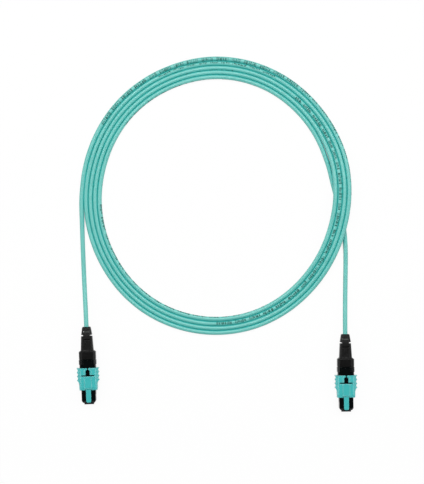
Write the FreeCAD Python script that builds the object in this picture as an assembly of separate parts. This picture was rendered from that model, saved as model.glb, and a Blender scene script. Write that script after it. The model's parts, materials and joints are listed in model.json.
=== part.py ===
import FreeCAD, Part
import math
import os

# An MPO patch cord: two multi-fibre push-on connectors, one on each end of a round 3.1 mm cord
# that is wound flat into an open coil. Connector "a" stands at the origin and lies along Y with
# its nose to -Y, on the surface z = 0. Connector "b" is the same connector at the cord's other end.
#
# Every connector piece is drawn in the connector's own frame: the mating axis is the Y axis,
# y = 0 is half way along the connector, and the ferrule's end face looks to -Y.

V = FreeCAD.Vector

# ---------------------------------------------------------------- driving dimensions, millimetres

LENGTH = 52.3  # ferrule end face to the end of the boot
CORD_D = 3.1
AXIS_HEIGHT = 4.6  # mating axis above the surface that the connector lies on
RUNNING_GAP = 0.1  # between mouldings that slide in one another
FINE_GAP = 0.05  # between a polarity key and its dovetail groove

CORNER_FLATS = 4  # flats that make up each round corner of a moulding
CORD_FLATS = 16  # flats that make up the round of the cord's loose ends

# Stations along the connector.
FACE = -LENGTH / 2
NOSE_FRONT = FACE + 1.2
SLEEVE_FRONT = FACE + 9.7
SLEEVE_REAR = SLEEVE_FRONT + 14.9
BODY_REAR = SLEEVE_REAR + 6.0
SHOULDER = BODY_REAR + 4.9
TAIL_START = SHOULDER + 1.1
BOOT_END = LENGTH / 2

# Ferrule: a 12-fibre MT ferrule with two guide-pin holes.
FERRULE_HALF = (3.2, 1.25)
FLANGE_HALF = (3.5, 1.5)
FERRULE_LENGTH = 8.0
FLANGE_LENGTH = 2.0
FERRULE_REAR = FACE + FERRULE_LENGTH
PIN_HOLE_R = 0.35
PIN_HOLE_X = 2.3
FERRULE_POCKET_HALF = (1.8, 0.75)
FERRULE_POCKET_DEPTH = 4.85
KEEPER_THICKNESS = 1.2
RIBBON_HALF = (1.45, 0.15)

# Nose housing: the black plug that enters the adapter.
NOSE_HALF = (4.8, 3.2)
NOSE_STEP = FACE + 14.15  # behind it the housing is narrower, to make room for the sleeve springs
NOSE_REAR = SLEEVE_REAR - 0.95
NOSE_REAR_HALF_X = 4.05
CAVITY_HALF = (3.6, 1.8)
SPRING_SEAT = NOSE_REAR - 5.65  # front of the rear body, where the ferrule spring ends

# Outer sleeve: pulled back to release the plug.
SLEEVE_HALF = (6.2, 4.2)
SLEEVE_CORNER = 1.9
SLEEVE_RIDGE = (2.15, AXIS_HEIGHT)  # raised ridge over the key channel: half width, height
SLEEVE_TRAVEL = 2.2
RIB_REAR = NOSE_STEP + 0.8  # rear face of the sleeve's two inner ribs, where its springs push
GRIP_TIP_X = 7.55
GRIP_VALLEY_X = 6.85
GRIP_PITCH = 2.7
GRIP_TEETH = 4

# Polarity keys: one stands out over the nose, the other is drawn back under the sleeve.
KEY_BASE_HALF = 1.95
KEY_NECK_HALF = 1.65
KEY_FLOOR = 2.7
KEY_TOP = 3.95
KEY_LENGTH = 12.45
KEY_TRAVEL = 8.5

# Rear body and boot.
BODY_HALF = (5.9, 4.1)
NECK_HALF = (5.5, 3.2)
COLLAR_HALF = (5.7, 4.1)
TAIL_HALF = (4.3, 3.5)
TAIL_NOTCH_HALF = (3.75, 3.05)
TAIL_END_HALF = (2.9, 2.6)
BOOT_SLOTS = {"open": BOOT_END - 3.15, "notch": BOOT_END - 5.8, "blind": BOOT_END - 8.8}
SLOT_WIDTH = 0.9
SLOT_HALF_X = 2.35
PIP_R = 0.35
POST_R = 2.25
YARN_R = 2.8  # across the corners: the crimp presses the yarn six-sided
FIBRE_BORE_R = 1.62
RING_R = 3.1
RING_NECK_R = 2.1
RING_NECK_LENGTH = 3.1
CRIMP_START = BODY_REAR + 5.45  # the cord's jacket starts here, inside the crimp ring's neck
POST_END = CRIMP_START - 0.6

# Where connector b lies, and how far it is turned.
B_PLACE = (-174.2, 7.25)
B_TURN = 1.46

# The coil: a flat spiral of touching turns. The outside and the inside are two ovals, set a little
# apart, because there are five strands side by side at the top and left and four elsewhere.
COIL_CENTRE = (-86.6, 120.7)
COIL_RADII = (91.9, 94.0)
COIL_INSIDE_CENTRE = (-85.4, 119.1)
COIL_INSIDE_RADII = (78.4, 80.3)
CROSSING_SPAN = (-52.0, 30.0)  # where the turns ride over the cord's inner end, in Y from the centre

# Route of each loose end, chosen by hand, from the crimp ring to the coil.
CORD_A_ROUTE = [
    (0.0, CRIMP_START, AXIS_HEIGHT),
    (0.0, 32.0, AXIS_HEIGHT),
    (0.3, 55.0, CORD_D / 2),
    (0.95, 77.0, CORD_D / 2),
    (-0.3, 97.0, CORD_D / 2),
]
CORD_B_ROUTE = [
    (-174.45, 17.15, AXIS_HEIGHT),
    (-175.02, 39.25, AXIS_HEIGHT),
    (-175.75, 62.5, CORD_D / 2),
    (-176.4, 84.0, CORD_D / 2),
    (-176.9, 105.0, CORD_D / 2),
]


# ---------------------------------------------------------------- helpers


def block(half_x, y, half_z):
    """A box centred on the axis, from y[0] to y[1]."""
    return Part.makeBox(2 * half_x, y[1] - y[0], 2 * half_z, V(-half_x, y[0], -half_z))


def span(x, y, z):
    """A box between low and high values on each axis."""
    return Part.makeBox(x[1] - x[0], y[1] - y[0], z[1] - z[0], V(x[0], y[0], z[0]))


def flat_face(points):
    """A flat face with the points as its corners."""
    return Part.Face(Part.makePolygon([*points, points[0]]))


def outline(half, corner, y):
    """The corners of a rectangle square to the axis at y. Each of its round corners is CORNER_FLATS
    flats, at the same angles in every outline, so that a taper between two of them has flat sides."""
    x, z = half
    points = []
    for quarter, (sx, sz) in enumerate(((1, 1), (-1, 1), (-1, -1), (1, -1))):
        for i in range(CORNER_FLATS + 1):
            a = math.pi / 2 * (quarter + i / CORNER_FLATS)
            centre = V(sx * (x - corner), y, sz * (z - corner))
            points.append(centre + V(math.cos(a), 0, math.sin(a)) * corner)
    return points


def hexagon(radius, y):
    """The corners of a regular hexagon square to the axis at y, with two of them in the XY plane."""
    turns = [math.pi / 3 * i for i in range(6)]
    return [V(radius * math.cos(a), y, radius * math.sin(a)) for a in turns]


def between(start, end):
    """The solid between two outlines whose sides are parallel, pair by pair."""
    faces = [flat_face(start), flat_face(end)]
    for i, j in zip(range(-1, len(start) - 1), range(len(start))):
        faces.append(flat_face([start[i], start[j], end[j], end[i]]))
    solid = Part.makeSolid(Part.makeShell(faces))
    return solid if solid.Volume > 0 else solid.reversed()


def bar(half, corner, y):
    """A straight bar with round long edges."""
    return flat_face(outline(half, corner, y[0])).extrude(V(0, y[1] - y[0], 0))


def taper(half_0, corner_0, y_0, half_1, corner_1, y_1):
    """A bar whose section changes evenly from one end to the other."""
    return between(outline(half_0, corner_0, y_0), outline(half_1, corner_1, y_1))


def prism(points, direction):
    """The closed polygon through the points, extruded."""
    return flat_face([V(*p) for p in points]).extrude(V(*direction))


def rod(radius, y):
    """A round bar on the axis, from y[0] to y[1]."""
    return Part.makeCylinder(radius, y[1] - y[0], V(0, y[0], 0), V(0, 1, 0))


def both_sides(shape):
    """The shape and its mirror image across the YZ plane."""
    return [shape, shape.mirror(V(0, 0, 0), V(1, 0, 0))]


def top_and_bottom(shape):
    """The shape and its mirror image across the XY plane."""
    return [shape, shape.mirror(V(0, 0, 0), V(0, 0, 1))]


def joined(shapes):
    """One clean solid from touching shapes."""
    return shapes[0].fuse(shapes[1:]).removeSplitter()


# ---------------------------------------------------------------- ferrule group


def ferrule():
    """MT ferrule: a precision block with two guide-pin holes, an adhesive window and a rear pocket."""
    block_shape = block(FERRULE_HALF[0], (FACE, FERRULE_REAR), FERRULE_HALF[1])
    flange = block(FLANGE_HALF[0], (FERRULE_REAR - FLANGE_LENGTH, FERRULE_REAR), FLANGE_HALF[1])
    pocket_front = FERRULE_REAR - FERRULE_POCKET_DEPTH
    pocket = block(FERRULE_POCKET_HALF[0], (pocket_front, FERRULE_REAR), FERRULE_POCKET_HALF[1])
    window = span((-1.7, 1.7), (pocket_front + 0.2, pocket_front + 1.9), (0, FERRULE_HALF[1] + 1))
    holes = both_sides(rod(PIN_HOLE_R, (FACE, FERRULE_REAR)).translate(V(PIN_HOLE_X, 0, 0)))
    return joined([block_shape, flange]).cut([pocket, window] + holes)


def ferrule_boot():
    """Rubber sleeve that guides the ribbon into the ferrule's pocket."""
    y = (FERRULE_REAR - 2.85, FERRULE_REAR + 3.15)
    return bar((1.75, 0.7), 0.25, y).cut(block(RIBBON_HALF[0] + 0.05, y, RIBBON_HALF[1] + 0.05))


def pin_keeper():
    """Plate behind the ferrule, with a boss that centres the ferrule spring."""
    plate = (FERRULE_REAR, FERRULE_REAR + KEEPER_THICKNESS)
    boss = (plate[0], plate[1] + 0.7)
    solid = joined([bar((3.5, 1.6), 0.4, plate), bar((2.1, 0.85), 0.8, boss)])
    return solid.cut(block(FERRULE_POCKET_HALF[0], boss, FERRULE_POCKET_HALF[1]))


def spring(half, wire_r, y, turns, steps):
    """A compression spring about the axis, wound oval or round.

    half holds the winding's half width and half height. The wire is a four-sided bar between
    stations of the helix, so that it stays light.
    """
    sides = 4
    count = round(turns * steps)
    first, rise = y[0] + wire_r, y[1] - y[0] - 2 * wire_r
    rings = []
    for i in range(count + 1):
        a = 2 * math.pi * i / steps
        centre = V(half[0] * math.cos(a), first + rise * i / count, half[1] * math.sin(a))
        outward = V(math.cos(a) / half[0], 0, math.sin(a) / half[1]).normalize()
        ring = []
        for k in range(sides):
            b = 2 * math.pi * k / sides
            ring.append(centre + (outward * math.cos(b) + V(0, math.sin(b), 0)) * wire_r)
        rings.append(ring)
    faces = [flat_face(ring) for ring in (rings[0], rings[-1])]
    for low, high in zip(rings, rings[1:]):
        for k in range(sides):
            m = (k + 1) % sides
            for corners in ((low[k], low[m], high[m]), (low[k], high[m], high[k])):
                faces.append(flat_face(corners))
    return Part.makeSolid(Part.makeShell(faces))


def ferrule_spring():
    """Oval spring that presses the ferrule forward; the ribbon runs through it."""
    return spring((2.82, 1.32), 0.25, (FERRULE_REAR + KEEPER_THICKNESS, SPRING_SEAT), 5.5, 10)


# ---------------------------------------------------------------- nose housing


def dovetail(base_half, neck_half, floor, top, y):
    """The section of a polarity key or of its groove, extruded along the axis."""
    neck = NOSE_HALF[1]
    section = [(base_half, floor), (neck_half, neck), (neck_half, top)]
    section += [(-x, z) for x, z in reversed(section)]
    return prism([(x, y[0], z) for x, z in section], (0, y[1] - y[0], 0))


def rounded_slab(half_x, y, corner, height):
    """A slab from z = 0 up, round at the two corners of its y[0] end."""
    s = corner * (1 - math.sqrt(0.5))
    front, rear = y
    curves = [
        Part.Arc(V(-half_x, front + corner, 0), V(s - half_x, front + s, 0), V(corner - half_x, front, 0)),
        Part.LineSegment(V(corner - half_x, front, 0), V(half_x - corner, front, 0)),
        Part.Arc(V(half_x - corner, front, 0), V(half_x - s, front + s, 0), V(half_x, front + corner, 0)),
        Part.LineSegment(V(half_x, front + corner, 0), V(half_x, rear, 0)),
        Part.LineSegment(V(half_x, rear, 0), V(-half_x, rear, 0)),
        Part.LineSegment(V(-half_x, rear, 0), V(-half_x, front + corner, 0)),
    ]
    return Part.Face(Part.Wire([curve.toShape() for curve in curves])).extrude(V(0, 0, height))


def latch_recess():
    """The pocket in the plug's side that an adapter's latch drops into: a ramp in front, a wall behind."""
    depth, half_height = 0.7, 1.5
    front, wall = FACE + 6.5, FACE + 12.15
    side = NOSE_HALF[0]
    plan = [
        (side - depth, front + depth, -half_height),
        (side + 0.1, front - 0.1, -half_height),
        (side + 0.1, wall, -half_height),
        (side - depth, wall, -half_height),
    ]
    return prism(plan, (0, 0, 2 * half_height))


def nose_housing():
    """The plug moulding: a tube for the ferrule, with latch recesses, key grooves and barb windows."""
    lead_in = NOSE_FRONT + 1.25
    front = taper((3.9, 2.75), 0.3, NOSE_FRONT, NOSE_HALF, 0.45, lead_in)
    middle = bar(NOSE_HALF, 0.45, (lead_in, NOSE_STEP))
    rear = bar((NOSE_REAR_HALF_X, NOSE_HALF[1]), 0.45, (NOSE_STEP, NOSE_REAR))
    step = FERRULE_REAR - FLANGE_LENGTH - 0.02
    mouth_half = [size + RUNNING_GAP for size in FERRULE_HALF]
    mouth = bar(mouth_half, 0.1, (NOSE_FRONT, step))
    cavity = bar(CAVITY_HALF, 0.3, (step, NOSE_REAR))
    groove_y = (NOSE_FRONT, NOSE_REAR - 0.4)
    groove_half = (KEY_BASE_HALF + FINE_GAP, KEY_NECK_HALF + FINE_GAP)
    groove = dovetail(*groove_half, KEY_FLOOR, NOSE_HALF[1] + 1, groove_y)
    barb_window = span((3.4, 4.2), (NOSE_REAR - 4.0, NOSE_REAR - 2.0), (-1.2, 1.2))
    cuts = [mouth, cavity] + top_and_bottom(groove) + both_sides(latch_recess()) + both_sides(barb_window)
    return joined([front, middle, rear]).cut(cuts)


def polarity_key():
    """A dovetailed slide with a round nose and a thumb step; it is drawn stood out over the plug."""
    front = NOSE_FRONT + 0.2
    rear = front + KEY_LENGTH
    key = dovetail(KEY_BASE_HALF, KEY_NECK_HALF, KEY_FLOOR + FINE_GAP, KEY_TOP, (front, rear))
    round_plan = rounded_slab(KEY_NECK_HALF, (front, front + 4), 0.9, KEY_TOP + 1)
    wide_plan = span((-3, 3), (front + 1, rear), (0, KEY_TOP + 1))
    thumb_step = span((-3, 3), (rear - 1.3, rear - 0.5), (KEY_TOP - 0.35, KEY_TOP + 1))
    return key.common(round_plan.fuse(wide_plan)).cut(thumb_step).removeSplitter()


# ---------------------------------------------------------------- sleeve


def grip():
    """The scalloped finger grip down one side of the sleeve."""
    flat = 0.3
    low = -3.2
    root = SLEEVE_HALF[0] - 0.3
    tips = [SLEEVE_REAR - GRIP_PITCH * i for i in range(GRIP_TEETH)]
    foot = tips[-1] - 2.6
    curves = [Part.LineSegment(V(root, tips[0], low), V(GRIP_TIP_X, tips[0], low))]
    for tip, next_tip in zip(tips, tips[1:]):
        valley = V(GRIP_VALLEY_X, (tip - flat + next_tip) / 2, low)
        curves.append(Part.LineSegment(V(GRIP_TIP_X, tip, low), V(GRIP_TIP_X, tip - flat, low)))
        curves.append(Part.Arc(V(GRIP_TIP_X, tip - flat, low), valley, V(GRIP_TIP_X, next_tip, low)))
    last = V(GRIP_TIP_X, tips[-1] - flat, low)
    curves.append(Part.LineSegment(V(GRIP_TIP_X, tips[-1], low), last))
    curves.append(Part.Arc(last, V(GRIP_VALLEY_X - 0.25, tips[-1] - 1.25, low), V(SLEEVE_HALF[0], foot, low)))
    curves.append(Part.LineSegment(V(SLEEVE_HALF[0], foot, low), V(root, foot, low)))
    curves.append(Part.LineSegment(V(root, foot, low), V(root, tips[0], low)))
    teeth = Part.Face(Part.Wire([curve.toShape() for curve in curves])).extrude(V(0, 0, -2 * low))
    top, chamfer = -low - 0.1, 1.2
    edge = [(root - 1, top), (GRIP_TIP_X - chamfer, top), (GRIP_TIP_X + 0.02, top - chamfer)]
    edge += [(x, -z) for x, z in reversed(edge)]
    return teeth.common(prism([(x, foot - 1, z) for x, z in edge], (0, SLEEVE_REAR - foot + 2, 0)))


def key_window():
    """The T-shaped opening over a key: a notch from the rear edge, an arched window and a cross slit."""
    low = 3.0
    arch = SLEEVE_REAR - 1.2
    slit = (SLEEVE_REAR - 5.55, SLEEVE_REAR - 4.75)
    notch = span((-0.4, 0.4), (arch - 0.5, SLEEVE_REAR + 0.5), (low, 6))
    window = rounded_slab(1.4, (-arch, -slit[0]), 0.9, 3)
    window.rotate(V(0, 0, 0), V(0, 0, 1), 180)
    cross = span((-4.3, 4.3), slit, (low, 6))
    return joined([notch, window.translate(V(0, 0, low)), cross])


def key_ridge():
    """The raised band along the sleeve's middle, over and under the keys, sloped at its front end."""
    half, top = SLEEVE_RIDGE
    side = 0.5
    front = SLEEVE_FRONT + 0.6
    section = [(half + side, 0), (half + side, top - 0.45), (half, top)]
    section += [(-x, z) for x, z in reversed(section)]
    band = prism([(x, front, z) for x, z in section], (0, SLEEVE_REAR - front, 0))
    slope_side = [(front - 0.1, top - 0.5), (front + 1, top), (front - 0.1, top + 0.1)]
    return band.cut(prism([(-4, y, z) for y, z in slope_side], (8, 0, 0)))


def sleeve():
    """The sprung outer sleeve: ridged over the keys, scalloped at its sides, hollow for plug and springs."""
    chamfer_end = SLEEVE_FRONT + 1.8
    front = taper((6.1, 3.75), 1.5, SLEEVE_FRONT, SLEEVE_HALF, SLEEVE_CORNER, chamfer_end)
    body = bar(SLEEVE_HALF, SLEEVE_CORNER, (chamfer_end, SLEEVE_REAR))
    outside = joined([front, body] + top_and_bottom(key_ridge()) + both_sides(grip()))

    whole = (SLEEVE_FRONT, SLEEVE_REAR)
    rib_y = (NOSE_STEP + 0.05, RIB_REAR)
    plug_room = bar([size + RUNNING_GAP for size in NOSE_HALF], 0.4, whole)
    spring_room = bar([size + RUNNING_GAP for size in NECK_HALF], 1.1, (RIB_REAR, SLEEVE_REAR))
    latch_room = block(5.7, (SLEEVE_FRONT, NOSE_STEP - 0.8), 1.6)
    key_channel = block(KEY_NECK_HALF + 0.15, whole, KEY_TOP + RUNNING_GAP)
    hollow = [plug_room, spring_room, latch_room, key_channel] + top_and_bottom(key_window())
    rib = span((NOSE_REAR_HALF_X + RUNNING_GAP, 5.2), rib_y, (-1.4, 1.4))
    return joined([outside.cut(hollow)] + both_sides(rib))


def sleeve_spring(side):
    """One of the two small springs that push the sleeve forward, beside the housing."""
    coil = spring((0.48, 0.48), 0.14, (RIB_REAR, NOSE_REAR), 7, 6)
    return coil.translate(V(side * 4.83, 0, 0))


# ---------------------------------------------------------------- rear body and cord anchor


def latch_barb():
    """The wedge on each latch arm that snaps into the housing's window."""
    front, crest, rear = NOSE_REAR - 3.8, NOSE_REAR - 2.8, NOSE_REAR - 2.2
    plan = [(3.4, front), (3.5, front), (3.95, crest), (3.95, rear), (3.4, rear)]
    return prism([(x, y, -1.1) for x, y in plan], (0, 0, 2.2))


def locating_pip(y):
    """The small raised dot in the middle of the finger block's channel."""
    turns = [math.pi / 4 * i for i in range(8)]
    plan = [(PIP_R * math.cos(a), y + PIP_R * math.sin(a), NECK_HALF[1] - 0.05) for a in turns]
    return prism(plan, (0, 0, PIP_R))


def rear_body():
    """Backbone moulding: latch arms and spring seat, then a finger block, then the crimp post."""
    arms = bar((3.5, 1.7), 0.3, (SPRING_SEAT, NOSE_REAR))
    slit = span((2.45, 2.9), (SPRING_SEAT, NOSE_REAR - 0.9), (-2, 2))
    stop = SLEEVE_REAR + SLEEVE_TRAVEL + 0.2
    seam = BODY_REAR - 0.5
    neck = bar(NECK_HALF, 1.1, (NOSE_REAR, stop))
    channel = span((-2.8, 2.8), (stop, seam), (NECK_HALF[1], 5))
    finger_block = bar(BODY_HALF, 2.4, (stop, seam)).cut(top_and_bottom(channel))
    collar_seat = bar((5.6, 3.9), 2.3, (seam, BODY_REAR))
    post = rod(POST_R, (BODY_REAR, POST_END))
    pieces = [arms.cut(both_sides(slit)), neck, finger_block, collar_seat, post]
    ribbon_way = block(2.2, (SPRING_SEAT, NOSE_REAR), 0.8)
    bore = rod(FIBRE_BORE_R, (NOSE_REAR - 0.5, POST_END))
    raised = both_sides(latch_barb()) + top_and_bottom(locating_pip(stop + 2.0))
    return joined(pieces + raised).cut([ribbon_way, bore])


def aramid_yarn():
    """The cord's strength yarn, folded back over the crimp post and pressed on it by the ring."""
    yarn = between(hexagon(YARN_R, BODY_REAR + 0.25), hexagon(YARN_R, POST_END - 0.2))
    return yarn.cut(rod(POST_R, (BODY_REAR, POST_END)))


def crimp_ring():
    """Drawn metal ring: its wide end is pressed six-sided on the yarn, its neck grips the jacket."""
    start, end = BODY_REAR + 0.15, CRIMP_START - 0.4
    neck_start = CRIMP_START + 0.4
    barrel = between(hexagon(RING_R, start), hexagon(RING_R, end))
    shoulder = between(hexagon(RING_R, end), hexagon(RING_NECK_R, neck_start))
    neck = rod(RING_NECK_R, (end, CRIMP_START + RING_NECK_LENGTH))
    yarn_room = between(hexagon(YARN_R, start), hexagon(YARN_R, POST_END))
    return joined([barrel, shoulder, neck]).cut([yarn_room, rod(CORD_D / 2, (POST_END, BOOT_END))])


def fibre_ribbon():
    """The twelve fibres, side by side as one ribbon, from inside the ferrule to the cord's jacket."""
    return block(RIBBON_HALF[0], (FERRULE_REAR - FERRULE_POCKET_DEPTH + 0.6, CRIMP_START), RIBBON_HALF[1])


def boot_inside():
    """The boot's stepped bore: wide over the crimp ring, narrower over its neck, then close on the cord."""
    ring_end = CRIMP_START + 0.8
    neck_end = CRIMP_START + RING_NECK_LENGTH + 0.4
    return [
        rod(RING_R + 0.15, (BODY_REAR, ring_end)),
        rod(RING_NECK_R + 0.15, (ring_end - 0.1, neck_end)),
        rod(CORD_D / 2 + 0.1, (neck_end - 0.1, BOOT_END)),
    ]


def cross_slot(y, floor):
    """A pair of slots across the boot, above and below the cord. With a floor of 0 they are one."""
    slot_y = (y - SLOT_WIDTH / 2, y + SLOT_WIDTH / 2)
    return top_and_bottom(span((-SLOT_HALF_X, SLOT_HALF_X), slot_y, (floor, 5)))


def strain_relief_boot():
    """Soft boot: a square collar over the crimp, then a tapered tail, slotted so that it bends."""
    notch = BOOT_SLOTS["notch"]
    rim = BOOT_END - 0.5
    rim_half = [size - 0.35 for size in TAIL_END_HALF]
    outside = [
        bar(COLLAR_HALF, 2.4, (BODY_REAR, SHOULDER)),
        taper(COLLAR_HALF, 2.4, SHOULDER, TAIL_HALF, 1.9, TAIL_START),
        taper(TAIL_HALF, 1.9, TAIL_START, TAIL_NOTCH_HALF, 1.6, notch),
        taper(TAIL_NOTCH_HALF, 1.6, notch, TAIL_END_HALF, 1.4, rim),
        taper(TAIL_END_HALF, 1.4, rim, rim_half, 1.1, BOOT_END),
    ]
    notches = both_sides(span((2.3, 6), (notch - 0.45, notch + 0.45), (-5, 5)))
    groove_y = (TAIL_START + 0.3, BOOT_SLOTS["blind"] - 0.8)
    groove_side = [(groove_y[0], 3.05), (groove_y[0], 5), (groove_y[1], 5), (groove_y[1], 2.75)]
    groove = prism([(-0.75, y, z) for y, z in groove_side], (1.5, 0, 0))
    cuts = boot_inside() + notches + top_and_bottom(groove)
    cuts += cross_slot(BOOT_SLOTS["open"], 0)
    cuts += cross_slot(BOOT_SLOTS["blind"], 2.15)
    return joined(outside).cut(cuts)


# ---------------------------------------------------------------- cord


def cord_tube(name, route):
    """The cord on straight runs joined by tangent arcs, each as large as its two runs allow."""
    points = [V(*p) for p in route]
    edges, radii, at = [], [], points[0]
    for before, corner, after in zip(points, points[1:], points[2:]):
        into, out = corner - before, after - corner
        half_turn = into.getAngle(out) / 2
        reach = 0.45 * min(into.Length, out.Length)
        radius = reach / math.tan(half_turn)
        start = corner - into.normalize() * reach
        finish = corner + out.normalize() * reach
        inward = ((start + finish) * 0.5 - corner).normalize()
        middle = corner + inward * (radius / math.cos(half_turn) - radius)
        edges += [Part.LineSegment(at, start).toShape(), Part.Arc(start, middle, finish).toShape()]
        radii.append(round(radius))
        at = finish
    path = Part.Wire(edges + [Part.LineSegment(at, points[-1]).toShape()])
    rim = Part.makeCircle(CORD_D / 2, points[0], points[1] - points[0])
    section = flat_face(rim.discretize(CORD_FLATS + 1)[:-1])
    tube = path.makePipe(section)
    expected = section.Area * path.Length
    print(f"{name}: {path.Length:.1f} mm long, arc radii {radii} mm")
    print(f"{name}: volume {tube.Volume:.1f} mm3, section times length {expected:.1f} mm3")
    return tube


def oval_disc(centre, radii, height):
    """A flat disc, longer in Y than in X, standing on the surface."""
    c = V(*centre, 0)
    rim = Part.Ellipse(c + V(0, radii[1], 0), c + V(radii[0], 0, 0), c).toShape()
    return Part.Face(Part.Wire(rim)).extrude(V(0, 0, height))


def cord_coil():
    """The coil's closed outer shape: a flat ring that rises where its turns cross the inner end."""
    x, y = COIL_CENTRE
    low, high = (y + end for end in CROSSING_SPAN)
    crest = V(0, (low + high) / 2, 2 * CORD_D)
    hump_edges = [
        Part.Arc(V(0, low, CORD_D), crest, V(0, high, CORD_D)).toShape(),
        Part.LineSegment(V(0, high, CORD_D), V(0, low, CORD_D)).toShape(),
    ]
    hump = Part.Face(Part.Wire(hump_edges)).extrude(V(COIL_RADII[0] + 1, 0, 0)).translate(V(x, 0, 0))
    disc = oval_disc(COIL_CENTRE, COIL_RADII, CORD_D)
    raised = oval_disc(COIL_CENTRE, COIL_RADII, 2 * CORD_D).common(hump)
    return joined([disc, raised]).cut(oval_disc(COIL_INSIDE_CENTRE, COIL_INSIDE_RADII, 3 * CORD_D))


# ---------------------------------------------------------------- assembly


def connector():
    """Every piece of one connector, in the connector's own frame."""
    key = polarity_key()
    return {
        "nose_housing": nose_housing(),
        "sleeve": sleeve(),
        "polarity_key_top": key,
        "polarity_key_bottom": key.mirror(V(0, 0, 0), V(0, 0, 1)).translate(V(0, KEY_TRAVEL, 0)),
        "ferrule": ferrule(),
        "ferrule_boot": ferrule_boot(),
        "pin_keeper": pin_keeper(),
        "ferrule_spring": ferrule_spring(),
        "sleeve_spring_left": sleeve_spring(-1),
        "sleeve_spring_right": sleeve_spring(1),
        "rear_body": rear_body(),
        "aramid_yarn": aramid_yarn(),
        "crimp_ring": crimp_ring(),
        "strain_relief_boot": strain_relief_boot(),
        "fibre_ribbon": fibre_ribbon(),
    }


def placed(shape, place, turn):
    """A connector piece, stood at its height and turned about the vertical."""
    shape = shape.copy()
    shape.rotate(V(0, 0, 0), V(0, 0, 1), turn)
    shape.translate(V(place[0], place[1], AXIS_HEIGHT))
    return shape


def main():
    pieces = {}
    for name, shape in connector().items():
        pieces[name + "_a"] = placed(shape, (0, 0), 0)
        pieces[name + "_b"] = placed(shape, B_PLACE, B_TURN)
    pieces["cord_from_a"] = cord_tube("cord_from_a", CORD_A_ROUTE)
    pieces["cord_from_b"] = cord_tube("cord_from_b", CORD_B_ROUTE)
    pieces["cord_coil"] = cord_coil()
    os.makedirs("parts", exist_ok=True)
    for name, shape in pieces.items():
        print(f"{name}: {len(shape.Solids)} solid, valid {shape.isValid()}, {shape.Volume:.1f} mm3")
        shape.exportStep(f"parts/{name}.step")


main()
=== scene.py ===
# %% [markdown]
# # A fibre patch cord with a twelve-fibre plug on each end
#
# The object is a coil of round aqua cord. Each end of it carries a multi-fibre push-on plug: a
# ferrule in a black housing, an aqua sleeve that slides on it, a black body behind and a soft boot.
#
# The plugs come from the CAD model, which holds their sizes and the way they move. Blender adds the
# cord as one smooth line, the marks on its jacket, the inner wires and fibres, and every finish.

# %% Load the CAD model as a fixed frame
import bisect
import json
import math
import random

import bmesh
import bpy
from mathutils import Matrix, Vector


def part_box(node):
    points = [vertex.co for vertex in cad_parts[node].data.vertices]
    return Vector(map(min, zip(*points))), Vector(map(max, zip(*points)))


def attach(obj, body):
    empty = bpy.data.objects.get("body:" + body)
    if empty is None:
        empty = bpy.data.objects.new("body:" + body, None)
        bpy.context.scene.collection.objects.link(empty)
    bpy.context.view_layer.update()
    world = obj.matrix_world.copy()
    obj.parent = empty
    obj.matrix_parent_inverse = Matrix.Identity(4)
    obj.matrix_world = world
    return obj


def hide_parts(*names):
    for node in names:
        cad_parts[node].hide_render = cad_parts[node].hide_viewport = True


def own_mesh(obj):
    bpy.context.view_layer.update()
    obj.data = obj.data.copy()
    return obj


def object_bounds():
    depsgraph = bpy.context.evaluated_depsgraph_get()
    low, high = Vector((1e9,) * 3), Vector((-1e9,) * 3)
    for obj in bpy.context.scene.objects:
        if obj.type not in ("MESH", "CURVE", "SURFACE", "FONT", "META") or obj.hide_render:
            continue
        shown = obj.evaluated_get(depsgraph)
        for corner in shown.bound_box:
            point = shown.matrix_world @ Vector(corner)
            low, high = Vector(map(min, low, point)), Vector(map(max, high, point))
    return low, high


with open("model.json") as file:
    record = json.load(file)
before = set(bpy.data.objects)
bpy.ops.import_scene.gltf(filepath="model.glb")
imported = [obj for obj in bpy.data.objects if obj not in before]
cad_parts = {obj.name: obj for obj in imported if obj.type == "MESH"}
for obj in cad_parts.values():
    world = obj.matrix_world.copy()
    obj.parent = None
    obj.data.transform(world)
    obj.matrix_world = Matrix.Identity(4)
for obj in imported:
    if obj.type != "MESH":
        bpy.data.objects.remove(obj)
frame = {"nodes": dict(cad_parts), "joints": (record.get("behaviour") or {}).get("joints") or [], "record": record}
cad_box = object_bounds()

# %% [markdown]
# ## Millimetres
#
# Blender works in metres, and a connector is drawn in millimetres. One helper turns a point given
# in millimetres into metres, so that every number below can be read with a ruler in hand.

# %% Turn millimetres into metres
MM = 0.001


def mm(x, y, z):
    """A point given in millimetres, in metres."""
    return Vector((x, y, z)) * MM


# %% [markdown]
# ## Camera
#
# A catalogue picture of a flat coil is taken from straight above, so that the coil stays round. The
# camera hangs a metre over the table: near enough that the tall plugs show a little larger than the
# table under them, far enough that they aren't seen at a slant. The lens is worked out from the
# height of table that the picture has to cover.

# %% One function puts an object into the scene


def in_scene(name, data):
    """A new object that shows the data given."""
    new_object = bpy.data.objects.new(name, data)
    bpy.context.scene.collection.objects.link(new_object)
    return new_object


# %% Look straight down through a long lens
CAMERA_HEIGHT = 1.0
PICTURE_HEIGHT = 328.8 * MM  # of table, along the picture's longer side
PICTURE_CENTRE = mm(-89.2, 89.6, 0)
PICTURE_TURN = math.radians(-0.75)

camera = in_scene("camera", bpy.data.cameras.new("camera"))
camera.data.lens = camera.data.sensor_width * CAMERA_HEIGHT / PICTURE_HEIGHT
camera.data.clip_end = 2 * CAMERA_HEIGHT
camera.location = PICTURE_CENTRE + Vector((0, 0, CAMERA_HEIGHT))
camera.rotation_euler = (0, 0, PICTURE_TURN)
bpy.context.scene.camera = camera
print("lens:", round(camera.data.lens), "mm")

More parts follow.
